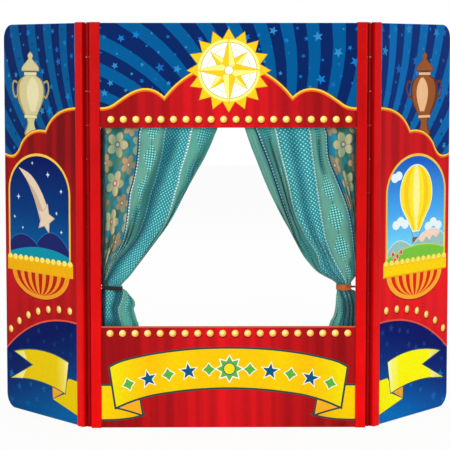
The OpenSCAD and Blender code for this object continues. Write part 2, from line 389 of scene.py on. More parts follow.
def edge_plastic(name, reds):
    """Red extruded plastic: (height share, red) stops, which paint it darker towards the top as painted
    shade, draw lines along it, scuffs, and painted shade in the groove at the fold.
    """
    finish = Finish(name, 0.32, Specular_IOR_Level=0.07)
    across, deep, height = finish.parts(finish.place())
    # Painted shade: the red stops make the plastic darker towards the top.
    level = height.remap(0.0, BOARD_H * MM, smooth=False)
    red = level.ramp([(at, (red, 0.03 * red, 0.04 * red)) for at, red in reds])
    lines = finish.grain(900, 900, 3)
    cloud = finish.noise(16.0, 3.0, 0.55)
    red = finish.tinted(red, (lines + cloud).remap(0.75, 1.25, 0.9, 1.06))
    # Painted shade: the red darkens towards the fold pin, on its front side, where the groove lies in shade.
    behind = deep - FOLD_Y * MM
    from_pin = distance(abs(across) - FOLD_X * MM, behind)
    groove_shade = from_pin.remap(4.5 * MM, 11.5 * MM, 0.7, 0.0) * (behind < 0.0)
    red = finish.mix(groove_shade, red, (104, 0, 4))
    scuff = finish.grain(70, 70, 420, 5.0, 0.7).remap(0.64, 0.72)
    finish.set(Base_Color=finish.mix(scuff * 0.16, red, (240, 120, 112)))
    finish.set(Roughness=cloud.remap(0.3, 0.7, 0.27, 0.4) + scuff * 0.22)
    finish.bump(lines, 0.00012, 0.5)
    return finish.material


def bracket_plastic():
    """Off-white moulded plastic with a fine spark texture and a little dust."""
    finish = Finish("bracket_plastic", 0.42, IOR=1.5)
    cloud = finish.noise(60.0, 4.0, 0.6)
    finish.set(Base_Color=cloud.ramp([(0.3, (224, 220, 208)), (0.7, (242, 240, 233))]))
    finish.set(Roughness=cloud.remap(0.3, 0.7, 0.36, 0.52))
    finish.bump(finish.noise(1800.0), 0.00005, 0.5)
    return finish.material


def steel(name, deep, light):
    """Drawn steel: fine lines along X and Z, cloudy plating and a few dull spots."""
    finish = Finish(name, 0.3, Metallic=1.0)
    lines = finish.grain(60, 2600, 90)
    cloud = finish.noise(120.0, 4.0, 0.6)
    finish.set(Base_Color=(lines * 0.5 + cloud * 0.5).ramp([(0.3, deep), (0.6, light)]))
    finish.set(Roughness=cloud.remap(0.3, 0.7, 0.2, 0.42))
    finish.bump(lines, 0.00003, 0.4)
    return finish.material


def elastic():
    """Black woven elastic with fine ribs."""
    finish = Finish("black_elastic", 0.85, Specular_IOR_Level=0.3, Sheen_Weight=0.25)
    around, along = finish.uv()
    weave = (around * 5200.0).math("SINE") * (along * 7400.0).math("SINE")
    shade = weave.remap(-1.0, 1.0, 0.2, 0.9)
    finish.set(Base_Color=shade.ramp([(0.0, (8, 6, 9)), (1.0, (30, 24, 30))]))
    finish.bump(weave, 0.00012, 0.8)
    return finish.material


def tie_fabric():
    """Orange-brown twill of the right tie-back."""
    finish = Finish("tie_band", 0.8, Specular_IOR_Level=0.3, Sheen_Weight=0.3)
    around, along = finish.uv()
    twill = ((around + along) * 15000.0).math("SINE")
    tone = finish.noise(180.0, 3.0, 0.6) * 0.85 + twill.remap(-1.0, 1.0, 0.0, 0.15)
    finish.set(Base_Color=tone.ramp([(0.3, (128, 44, 22)), (0.5, (176, 84, 30)), (0.75, (196, 116, 44))]))
    finish.bump(twill, 0.0001, 0.7)
    return finish.material


# Finish of the curtains: a striped cotton print, with u across the cloth and v down it in metres


class Cloth(Finish):
    """The curtain print. Stripes are (motif, width in millimetres) from the cloth's outer edge.

    Each motif's call lays it over the colour so far, within half a width of the stripe's middle.
    """

    def __init__(self, name, stripes):
        super().__init__(name, 0.88, Specular_IOR_Level=0.25, Sheen_Weight=0.25, Sheen_Roughness=0.5)
        self.across, self.down = self.uv()
        colour = (92, 158, 142)
        start = 0.0
        for motif, width in stripes:
            if motif != "plain":
                colour = getattr(self, motif)(colour, (start + width / 2) * MM, width / 2 * MM)
            start += width
        self.weave(colour)

    def little_squares(self, first, second, pitch, share):
        """Small squares in rows along two directions."""
        return (off_middle(first, pitch) < share) * (off_middle(second, pitch) < share)

    def line(self, colour, middle, half):
        return self.mix(self.across.near(middle, half), colour, (20, 48, 104))

    def dots(self, colour, middle, half):
        """Row of pale dots down the cloth."""
        pitch = 4.6 * MM
        ground = self.mix(self.across.near(middle, half), colour, (70, 140, 142))
        far = distance(off_middle(self.down, pitch) * pitch, self.across - middle)
        return self.mix(far < half, ground, (238, 246, 240))

    def diamonds(self, colour, middle, half, ground=(94, 156, 140), tint=(146, 226, 214), pitch=46 * MM):
        """Diamonds made of small checks, one above another down the middle of a stripe."""
        within = self.across.near(middle, half)
        colour = self.mix(within, colour, ground)
        aside = self.across - middle
        up = self.down.math("PINGPONG", pitch / 2)
        inside = (abs(aside) / (0.62 * half) + up / (pitch / 2)) < 1.0
        shape = inside.math("MAXIMUM", self.across.near(middle, 0.9 * MM) * within)
        colour = self.mix(shape * 0.8, colour, (22, 118, 122))
        return self.mix(shape * self.little_squares(aside, self.down, 3.8 * MM, 0.28), colour, tint)

    def checks(self, colour, middle, half):
        return self.diamonds(colour, middle, half, (84, 160, 144), (126, 214, 210), 58 * MM)

    def lattice(self, colour, middle, half):
        """Fine diagonal lattice."""
        pitch = 6.4 * MM
        rising, falling = self.across + self.down, self.across - self.down
        thread = (off_middle(rising, pitch) > 0.42).math("MAXIMUM", off_middle(falling, pitch) > 0.42)
        ground = self.mix(thread * 0.5, (32, 142, 150), (12, 112, 124))
        ground = self.mix(self.little_squares(rising, falling, pitch, 0.225), ground, (142, 224, 222))
        return self.mix(self.across.near(middle, half), colour, ground)

    def blossoms(self, colour, middle, half):
        """Beige five-petalled blossoms over leafy teal patches."""
        patch = self.noise(34.0, vector=self.join(self.across, self.down, 0.0))
        ground = patch.ramp([(0.42, (44, 104, 84)), (0.5, (14, 132, 152)), (0.6, (84, 132, 104))])
        ground = self.mix(self.across > middle + half - 13 * MM, ground, (6, 138, 164))
        wide, tall = 46.4 * MM, 58.0 * MM
        for shift, petal, size in ((0.0, (186, 180, 136), 20.0), (0.5, (182, 150, 112), 15.0)):
            column = (self.across - middle) / wide + (0.5 + shift)
            row = self.down / tall + (0.25 + shift)
            aside = (column.math("FRACT") - 0.5) * wide
            along = (row.math("FRACT") - 0.5) * tall
            reach = distance(aside, along)
            wave = abs((along.math("ARCTAN2", aside) * 2.5).math("COSINE"))
            edge = (wave * 0.45 + 0.55) * (size * MM)
            inside = reach < edge
            ground = self.mix(reach < edge + 0.9 * MM, ground, (120, 96, 62))
            ground = self.mix(inside, ground, petal)
            ground = self.mix((wave < 0.16) * inside * 0.5, ground, (140, 108, 70))
            for share, tint in ((0.26, (184, 112, 84)), (0.13, (226, 214, 214))):
                ground = self.mix(reach < size * share * MM, ground, tint)
        return self.mix(self.across.near(middle, half), colour, ground)

    def weave(self, colour):
        """The thread under the print: weave, slubs and the hem's stitches, and painted shade that darkens the
        cloth in its folds and in shadowed places.
        """
        weave = (self.down * 9200.0).math("SINE") * (self.across * 9200.0).math("SINE")
        slub = self.noise(1.0, 3.0, 0.6, self.join(self.across * 1500.0, self.down * 60.0))
        tint = (slub + self.noise(22.0, 3.0, 0.6)).remap(0.7, 1.3, 0.88, 1.08)
        hem, sunk = (self.node("Attribute", output="Fac", attribute_name=name) for name in ("hem", "sunk"))
        thread = ((self.across + self.down) * 330.0).math("FRACT") > 0.35
        stitch = hem.near((HEM - 1.2) * MM, 0.3 * MM) * thread
        # Painted shade: the cloth darkens, to deep teal and then near black, as the painted shade attribute
        # grows.
        fold_shade_tints = [(0.08, (1.0, 1.0, 1.0)), (0.28, (0.42, 0.7, 0.76)), (0.48, (0.1, 0.38, 0.45)),
                 (0.9, (0.03, 0.04, 0.06))]
        deep = (sunk * 0.5).ramp(fold_shade_tints, linear=True)
        colour = self.times(self.mix(stitch * 0.7, colour, (24, 70, 78)), deep)
        self.set(Base_Color=self.tinted(colour, tint))
        self.bump(weave + slub - stitch * 4.0, 0.00008, 0.7)


# Curves and outlines of the artwork, as lists of (across, z) points


def box(left, low, right, high):
    return [(left, low), (right, low), (right, high), (left, high)]


def quad_curve(a, b, c, steps):
    """Quadratic curve from a to c that bends towards b."""
    line = []
    for i in range(steps + 1):
        t = i / steps
        weights = ((1 - t) ** 2, 2 * t * (1 - t), t * t)
        line.append(tuple(sum(w * p[k] for w, p in zip(weights, (a, b, c))) for k in (0, 1)))
    return line


def edge_curve(points, steps=10):
    """Curves joined end to end, from a list of ends and bends by turns."""
    line = [tuple(points[0])]
    for a, b, c in zip(points[::2], points[1::2], points[2::2]):
        line += quad_curve(a, b, c, steps)[1:]
    return line


def polar(centre, reach, angle):
    return centre[0] + reach * math.cos(angle), centre[1] + reach * math.sin(angle)


def oval(centre, rx, rz=None, steps=24, start=0.0, end=360.0):
    """Points round an oval, or along part of it, counterclockwise from +x."""
    rz = rx if rz is None else rz
    whole = abs(end - start) >= 360
    angles = [math.radians(start + (end - start) * i / steps) for i in range(steps if whole else steps + 1)]
    return [(centre[0] + rx * math.cos(a), centre[1] + rz * math.sin(a)) for a in angles]


def star(centre, radius, tips=5, inner=0.42, turn=0.0):
    return [polar(centre, radius * (inner if i % 2 else 1), math.radians(90 + turn) + math.pi * i / tips)
            for i in range(2 * tips)]


def offset_line(points, distance, closed=False):
    """The line moved to its right by a distance, with mitred corners."""
    moved = []
    count = len(points)
    for i, here in enumerate(points):
        sides = []
        for j in (i - 1, i):
            if closed or 0 <= j < count - 1:
                a, b = points[j % count], points[(j + 1) % count]
                length = math.hypot(b[0] - a[0], b[1] - a[1]) or 1
                sides.append(((b[1] - a[1]) / length, -(b[0] - a[0]) / length))
        nx, nz = sum(s[0] for s in sides), sum(s[1] for s in sides)
        size = math.hypot(nx, nz) or 1
        nx, nz = nx / size, nz / size
        lean = max(0.35, nx * sides[0][0] + nz * sides[0][1])
        moved.append((here[0] + nx * distance / lean, here[1] + nz * distance / lean))
    return moved


def signed_area(points):
    return sum(a[0] * b[1] - b[0] * a[1] for a, b in zip(points, points[1:] + points[:1])) / 2


def grow(points, distance):
    """A closed outline grown outward by a distance."""
    line = points if signed_area(points) > 0 else points[::-1]
    return offset_line(line, distance, closed=True)


def stroke(points, near, far):
    """Closed band between two offsets of an open line."""
    return offset_line(points, near) + offset_line(points, far)[::-1]


def smooth_line(points, steps=6):
    """Catmull-Rom curve through points, without overshoot at the two ends."""
    padded = [points[0]] + list(points) + [points[-1]]
    line = [tuple(points[0])]
    for a, b, c, d in zip(padded, padded[1:], padded[2:], padded[3:]):
        for t in (i / steps for i in range(1, steps + 1)):
            line.append(tuple(
                0.5 * (2 * b[k] + (c[k] - a[k]) * t + (2 * a[k] - 5 * b[k] + 4 * c[k] - d[k]) * t * t
                       + (3 * b[k] - a[k] - 3 * c[k] + d[k]) * t ** 3)
                for k in (0, 1)))
    return line


def spaced(line, count):
    """Points at equal steps of length along a line."""
    xy = np.array(line)
    run = np.concatenate([[0], np.cumsum(np.hypot(*np.diff(xy, axis=0).T))])
    at = np.linspace(0, run[-1], count)
    return list(zip(np.interp(at, run, xy[:, 0]), np.interp(at, run, xy[:, 1])))


# Artwork


class Art:
    """Flat artwork in painter's order. The first shapes are the bare board; what falls off it is cut away."""

    def __init__(self, board, paint):
        self.shapes = [(outline, paint, ()) for outline in board]
        self.board_count = len(board)

    def add(self, outline, paint, *own):
        """A middle and a reach after the paint give the shape UVs of its own, from the middle in reaches."""
        self.shapes.append((outline, paint, own))

    def lined(self, outline, paint, line="outline", width=1.3):
        self.add(grow(outline, width), line)
        self.add(outline, paint)


def paint_stars(art, area, spacing, sizes, paints, seed, tries=900):
    """Five-pointed stars scattered over a box, none nearer than the spacing to another."""
    dice = random.Random(seed)
    placed = []
    for _ in range(tries):
        spot = (dice.uniform(area[0], area[1]), dice.uniform(area[2], area[3]))
        if all(math.dist(spot, other) > spacing for other in placed):
            placed.append(spot)
            size = sizes[0] + (sizes[1] - sizes[0]) * dice.random() ** 2
            art.add(star(spot, size, turn=dice.uniform(-35, 35)), dice.choice(paints))


def paint_rays(art, centre, first, last, width, twist, paint="sky_band"):
    """Curved light bands that fan out from a centre; angles and the twist are in degrees."""
    near, far, steps = 60, 460, 14
    angle = first
    while angle < last:
        left, right = (
            [polar(centre, near + (far - near) * i / steps, math.radians(edge + twist * (i / steps) ** 1.3))
             for i in range(steps + 1)]
            for edge in (angle, angle + width)
        )
        art.add(left + right[::-1], paint)
        angle += 2 * width


def paint_trim(art, line):
    """Gold edge with an orange underside, along the top of the drape."""
    for near, far, paint in ((-0.9, 0.3, "trim_dark"), (2.0, 5.0, "trim_orange"), (0.0, 2.6, "trim_gold")):
        art.add(stroke(line, near, far), paint)


def paint_bulbs(art, spots, radius):
    for x, z in spots:
        art.add(oval((x + 0.4, z - 1.5), radius + 0.5, steps=18), "bulb_shadow")
        art.add(oval((x, z), radius, steps=20), "bulb", (x, z), radius)


def paint_compass_rose(art, centre):
    """Round medallion: a spiked rim, a cream field and a two-tone eight-pointed star."""
    rim, waist = 46, 13
    art.lined(star(centre, 61, 16, 0.76), "rose_deep", "rose_line", 0.8)
    for inset, steps, paint in ((0, 48, "rose_pale"), (4, 48, "rose_line"), (5, 48, "cream"),
                                (13, 40, "cream_shade"), (14.5, 40, "cream")):
        art.add(oval(centre, rim - inset, steps=steps), paint)
    for reach, turn in ((rim - 8, 45), (rim + 2, 0)):
        art.lined(star(centre, reach, 4, waist / reach, turn), "rose_pale", "rose_line", 0.7)
        for quarter in range(0, 360, 90):
            tip, root = (math.radians(90 + turn + quarter + more) for more in (0, 45))
            art.add([centre, polar(centre, reach, tip), polar(centre, waist, root)], "rose_deep")
    art.lined(oval(centre, 6, steps=20), "cream", "rose_line", 0.9)


def mirrored(half):
    """A line through points from the middle outwards, and through their mirror images."""
    return [(-x, z) for x, z in half[:0:-1]] + half


def paint_banner(art):
    """Long ribbon with folded ends, and a row of plain motifs along it."""
    crease = quad_curve((168, 31), (150, 27), (130, 20), 6)
    hem = quad_curve((130, 20), (152, 12.5), (192, 13), 8)
    tail = [(192, 63.5), (172, 63.5), (168, 31)] + crease + hem[1:]
    fold = [(168, 32), (134, 44)] + crease[::-1]
    for side in SIDES:
        art.lined([(side * x, z) for x, z in tail], "tail", "banner_outline", 2.8)
        art.lined([(side * x, z) for x, z in fold], "ribbon_fold", "banner_outline", 2.6)
    top = [(0, 119.7), (54, 117.8), (102, 112.3), (138, 105.4), (162, 98.9), (177.5, 91.5)]
    bottom = [(0, 61.2), (54, 58.8), (102, 52.7), (126, 47.5), (149, 40), (168.5, 31.5)]
    top, bottom = (smooth_line(mirrored(half)) for half in (top, bottom))
    art.lined(bottom + top[::-1], "banner", "banner_outline", 3.0)
    motifs = 11
    for i, spot in enumerate(spaced(quad_curve((-150, 66), (0, 112), (153, 67), 24), motifs)):
        turn = -math.degrees(math.atan2(spot[0], 520))
        if i == motifs // 2:
            art.lined(star(spot, 19, 8, 0.62, turn), "motif_green", "cream", 1.6)
            art.lined(oval(spot, 8), "ribbon", "motif_blue", 1.4)
        elif i % 2:
            art.lined(star(spot, 12.5, turn=turn), "motif_blue", "cream", 1.2)
        else:
            art.lined(star(spot, 9, 4, 0.6, turn), "motif_green", "cream", 1.2)


def paint_urn(art, stone):
    """Lidded urn that stands behind the drape's edge."""
    middle, low = 136, 432
    body = [(13, 0), (17, 6), (12, 14), (9, 24), (20, 38), (33, 56), (37, 74), (30, 88), (15, 95), (13, 100)]
    gleam = [(8, 40), (20, 58), (22, 74), (14, 86), (4, 92)]
    lid = [(22, 103), (21, 108), (10, 116), (4, 121), (6, 126), (0, 131)]
    light, shade = stone + "_light", stone + "_shade"

    def both(half, scale=1, shift=0):
        right = smooth_line(half, 4)
        return [(middle + shift + x * scale, low + z) for x, z in right] + [
            (middle + shift - x * scale, low + z) for x, z in right[::-1] if x > 0]

    art.lined(both(body), shade, "trim_dark", 0.8)
    art.add(both(body, 0.86, -1.5), stone)
    art.add(both(gleam, 0.7, -6), light)
    art.lined(both(lid), stone, shade, 1.2)
    for z in (low + 96, low + 30):
        art.lined(box(middle - 16, z, middle + 16, z + 4), light, shade, 0.7)
    for side in SIDES:
        handle = [(middle + side * x, low + z) for x, z in ((35, 84), (45, 86), (48, 74), (42, 62), (36, 64))]
        art.add(stroke(smooth_line(handle, 4), -1.8, 1.8), shade)


WINDOW_SILL = 240


def hill(left, bend, right, steps, last=194):
    """Ground under a curve, down to the window's sill."""
    return quad_curve(left, bend, right, steps) + [(last, WINDOW_SILL), (left[0], WINDOW_SILL)]


def paint_night_view(art):
    """Comet over hills by night."""
    for x, z, size in ((58, 352, 4), (92, 376, 5), (70, 318, 3.4), (171, 338, 5), (182, 306, 3.4),
                       (58, 290, 3.6), (160, 290, 3), (133, 392, 3.2)):
        art.add(star((x, z), size, 4, 0.34), "sparkle")
    lower = smooth_line([(170, 384), (146, 362), (128, 336), (113, 304)])[1:]
    art.add(smooth_line([(91, 322), (112, 352), (138, 374), (170, 384)]) + lower, "comet")
    art.add(smooth_line([(104, 318), (124, 346), (150, 368), (170, 384)]) + lower, "comet_shade")
    art.lined(star((99, 308), 22, inner=0.5, turn=14), "comet", "comet_shade", 1.2)
    art.lined(hill((39, 262), (84, 312), (128, 262), 12), "night_hill", "night_line", 0.9)
    art.lined(hill((96, 243), (150, 300), (194, 268), 12), "night_hill", "night_line", 0.9)
    art.lined(hill((39, 252), (110, 272), (194, 250), 12), "night_meadow", "night_line", 0.9)


def paint_day_view(art):
    """Hot-air balloon over a meadow by day."""
    for spot in ((62, 300), (74, 305), (86, 300), (150, 292), (164, 298), (178, 292), (58, 372), (68, 375)):
        art.add(oval(spot, 10, 7), "cloud")
    axis, radius, neck = 116, 43, 288
    for x in (101, 131):
        art.add(stroke([(x, 292), (axis + (x - axis) * 0.4, 276)], -0.7, 0.7), "basket")
    art.lined([(108, 264), (124, 264), (125, 277), (107, 277)], "basket", "trim_dark", 0.8)
    envelope = oval((axis, 346), radius, radius, 32, -50, 230)
    art.lined(envelope + [(107, neck), (125, neck)], "balloon", "cloud", 1.8)
    for share, paint in ((0.78, "balloon_deep"), (0.5, "balloon"), (0.22, "balloon_pale")):
        gore = oval((axis, 346), radius * share, radius, 32, -62, 242)
        art.add(gore + [(axis - 9 * share, neck), (axis + 9 * share, neck)], paint)
    art.lined(hill((39, 258), (66, 292), (112, 258), 12, 112), "day_hill", "cloud", 1.0)
    art.lined(hill((84, 246), (150, 310), (194, 276), 14), "day_hill", "cloud", 1.0)
    snow = [(172, 273), (163, 278), (154, 270), (145, 277), (134, 268)]
    art.add(quad_curve((122, 274), (152, 298), (184, 281), 10) + snow, "day_cap")
    art.lined(hill((39, 250), (120, 276), (194, 256), 14), "meadow", "meadow_light", 1.6)
    for spot in ((54, 256), (66, 252), (60, 247), (76, 258)):
        art.lined(star(spot, 4.6, inner=0.66), "blossom", "cream", 0.5)


def paint_window(art, view, paint_view):
    """Arched window with a gold frame, over a balcony."""
    spring = 347
    for inset, paint in ((0, "bulb_shadow"), (0.5, "frame_gold"), (4.5, view)):
        left, right, high = 34 + inset, 199 - inset, 408 - inset
        arch = oval(((left + right) / 2, spring), (right - left) / 2, high - spring, 28, 0, 180)
        art.add([(left, WINDOW_SILL), (right, WINDOW_SILL)] + arch, paint)
    paint_view(art)


def paint_balcony(art, when):
    """Ribbed bowl under a slab with a row of beads."""
    middle, half, depth = (113.5, 224), 76, 42
    art.add(oval(middle, half + 1.4, depth + 1.6, 32, 180, 360), "bulb_shadow")
    art.add(oval(middle, half, depth, 32, 180, 360), when + "bowl")

    def meridian(share):
        angles = [math.radians(a) for a in np.linspace(0, 84, 10)]
        return [(middle[0] + share * (half - 5) * math.cos(a), middle[1] - (depth - 6) * math.sin(a))
                for a in angles]

    for i in range(-3, 4):
        art.add(meridian((i - 0.25) / 3.6) + meridian((i + 0.25) / 3.6)[::-1], when + "bowl_gap")
    art.add(box(28.5, 221.5, 202, 225), "slab_edge")
    art.lined(box(29.5, 223.5, 201, 243), when + "slab", "slab_edge", 0.8)
    for u in np.linspace(36, 195, 12):
        art.add(oval((u, 242.2), 6.3, 4.9, 14), "slab_edge")
        art.add(oval((u, 242.8), 5.7, 4.3, 14), "bead")


def paint_ribbon_tail(art, when):
    """End of the ribbon on a wing: the strip, its fold, and the swallow-tail with a pale curl."""
    strip = [(18, 66.5), (42, 67.5), (50, 56), (52, 42.5), (83, 30), (22, 15), (18, 13.5)]
    art.lined([(52, 46), (84, 48), (83, 31)], "ribbon_fold", "outline", 1.0)
    art.lined(strip, when + "wing_ribbon", "outline", 1.0)
    top = quad_curve((185.5, 91), (108, 110.5), (42.6, 92), 16)
    bottom = quad_curve((51, 43.5), (120, 61), (196, 47), 16)
    art.lined(top + bottom + [(135, 76)], when + "wing_ribbon", "outline", 1.6)
    upper = quad_curve((43, 91.4), (56, 95.6), (76, 98.6), 4)
    lower = quad_curve((84, 51), (68, 48.4), (51.6, 44.4), 4)
    art.add(upper + lower, when + "curl", (47, 0), 26)
    upper = quad_curve((181, 91.6), (172, 93), (160, 94.7), 4)
    lower = quad_curve((191, 47.8), (178, 49.6), (164, 50.8), 4)
    art.add([(185, 91)] + upper + [(152, 81.5)], "tip", (160, 0), 26)
    art.add([(195.4, 47)] + lower + [(154, 67)], "tip", (166, 0), 30)


def centre_art():
    board = [box(-CENTRE_HALF_W, PRINT_LOW, CENTRE_HALF_W, OPENING_LOW),
             box(-CENTRE_HALF_W, OPENING_HIGH, CENTRE_HALF_W, BOARD_H),
             box(-CENTRE_HALF_W, OPENING_LOW, -OPENING_HALF_W, OPENING_HIGH),
             box(OPENING_HALF_W, OPENING_LOW, CENTRE_HALF_W, OPENING_HIGH)]
    art = Art(board, "sky_dark")
    for first, last in ((-18, 96), (100, 178)):
        paint_rays(art, (0, 300), first, last, 3.9, 36)
    paint_stars(art, (-198, 198, 474, 600), 17, (2.2, 8.5), ("star_bright", "star_mid", "star_pale"), 11)
    scallops = [(0, 547), (57, 546), (95.3, 497.5), (118, 519.5), (148, 502), (160, 494.5), (170, 486.8),
                (178, 481.4), (188, 481.2), (198, 481.2), (FOLD_X, 481.2)]
    edge = mirrored(edge_curve(scallops))
    art.add(edge + [(FOLD_X, -2), (-FOLD_X, -2)], "drape")
    paint_trim(art, edge)
    paint_compass_rose(art, (0.5, 536))
    for first, last, z in ((-174.3, 178.7, 463.3), (-177.2, 179.0, 142.9)):
        paint_bulbs(art, [(x, z) for x in np.linspace(first, last, 20)], 5.2)
    art.add(box(-OPENING_HALF_W, 151.6, OPENING_HALF_W, 154), "sill")
    paint_banner(art)
    return art


def wing_art(side):
    """Night on the left wing, day on the right one."""
    if side == LEFT:
        when, view, stone, paint_view = "", "night", "stone", paint_night_view
    else:
        when, view, stone, paint_view = "day_", "day", "clay", paint_day_view
    r = WING_CORNER_R
    low_corner = oval((WING_W - r, r), r, steps=8, start=-90, end=0)
    high_corner = oval((WING_W - r, BOARD_H - r), r, steps=8, start=0, end=90)
    outer = [(u, max(z, PRINT_LOW)) for u, z in low_corner] + high_corner
    art = Art([[(WING_IN, PRINT_LOW)] + outer + [(WING_IN, BOARD_H)]], when + "sky_dark")
    paint_rays(art, (-60, 330), -8, 88, 4.2, 30, when + "sky_band")
    art.add(box(0, -2, WING_W + 1, 172), when + "dusk")
    star_paints = ("star_bright", "star_mid", "star_pale", when + "sky_dark")
    paint_stars(art, (18, 200, 410, 600), 18, (2.6, 9), star_paints, 20 + side)
    paint_stars(art, (18, 200, 76, 152), 20, (4.5, 9), (when + "star_faint",), 40 + side)
    paint_stars(art, (18, 200, 8, 56), 26, (5, 10), (when + "star_low",), 50 + side)
    paint_urn(art, stone)
    upper = edge_curve([(0, 480.5), (72, 485), (98, 444), (140, 448), (163, 422), (173.5, 403.5),
                        (187, 402.3), (197, 401.6), (WING_W, 405)])
    arch = quad_curve((0, 152.5), (118, 168), (WING_W, 94), 32)
    art.add(arch + upper[::-1], view + "_drape")
    art.add(stroke(arch, -1.6, 0.9), "salmon")
    paint_trim(art, upper)
    paint_window(art, view, paint_view)
    paint_balcony(art, when)
    paint_bulbs(art, spaced(quad_curve((38, 171.5), (134, 173), (195.5, 125.5), 30), 7), 5.8)
    paint_ribbon_tail(art, when)
    return art


# Meshes


def add_object(name, vertices, faces, materials=(), uvs=None):
    """Links a mesh; the UVs are a pair for each corner of each face."""
    mesh = bpy.data.meshes.new(name)
    mesh.from_pydata([tuple(v) for v in vertices], [], faces)
    for material in materials:
        mesh.materials.append(material)
    if uvs is not None:
        mesh.uv_layers.new(name="UVMap").data.foreach_set("uv", np.ravel(uvs))
    piece = bpy.data.objects.new(name, mesh)
    bpy.context.scene.collection.objects.link(piece)
    return piece


def film(name, art, paints, to_frame):
    """Thin closed sheet with the artwork as its front faces; to_frame takes (across, y, z) in millimetres."""
    points, outlines = [], []
    for outline, _, _ in art.shapes:
        line = outline if signed_area(outline) > 0 else outline[::-1]
        outlines.append(list(range(len(points), len(points) + len(line))))
        points += [Vector(p) for p in line]
    inside_only, weld = 1, 1e-3
    flat, _, triangles, _, _, owners = delaunay_2d_cdt(points, [], outlines, inside_only, weld)
    kept = [(list(corners), art.shapes[max(owned)]) for corners, owned in zip(triangles, owners)
            if owned and min(owned) < art.board_count]
    used = sorted({v for corners, _ in kept for v in corners})
    index = {v: i for i, v in enumerate(used)}
    slots = sorted({shape[1] for _, shape in kept})
    faces, slot_of, uvs, edges = [], [], [], {}

    def add_face(corners, back, paint, middle=(0, 0), reach=1 / MM):
        """Corners are points of the flat artwork; back says which of them lie on the back."""
        faces.append([index[v] + len(used) * behind for v, behind in zip(corners, back)])
        slot_of.append(slots.index(paint))
        uvs.extend(((flat[v][0] - middle[0]) / reach, (flat[v][1] - middle[1]) / reach) for v in corners)

    for corners, (_, paint, own) in kept:
        add_face(corners, (0, 0, 0), paint, *own)
        edges.update({edge: paint for edge in zip(corners, corners[1:] + corners[:1])})
    for corners, (_, paint, _) in kept:
        add_face(corners[::-1], (1, 1, 1), paint)
    for (a, b), paint in edges.items():
        if (b, a) not in edges:
            add_face((b, a, a, b), (0, 0, 1, 1), paint)
    vertices = [to_frame(flat[v][0], y, flat[v][1]) for y in (PRINT_FRONT, BOARD_FRONT) for v in used]
    piece = add_object(name, vertices, faces, [paints[slot] for slot in slots], uvs)
    piece.data.polygons.foreach_set("material_index", slot_of)
    if to_frame(1, 0, 0)[0] < to_frame(0, 0, 0)[0]:
        piece.data.flip_normals()
    return piece


def on_centre(x, y, z):
    return (x * MM, y * MM, z * MM)


def on_wing(side):
    """Takes a wing's own (u, y, z) to the frame, with the wing folded back at rest."""

    def place(u, y, z):
        depth = y - FOLD_Y
        x = u * math.cos(FOLD_ANGLE) - depth * math.sin(FOLD_ANGLE)
        back = u * math.sin(FOLD_ANGLE) + depth * math.cos(FOLD_ANGLE)
        return (side * (FOLD_X + x) * MM, (FOLD_Y + back) * MM, z * MM)

    return place


def make_facings():
    paints = {name: painted(name, colour) for name, colour in PAINTS.items()}
    centre = film("centre_facing", centre_art(), paints, on_centre)
    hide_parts("centre_print")
    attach(centre, "centre")
    for side, word in SIDES.items():
        wing = film(word + "_wing_facing", wing_art(side), paints, on_wing(side))
        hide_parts(word + "_wing_print")
        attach(wing, word + "_wing")
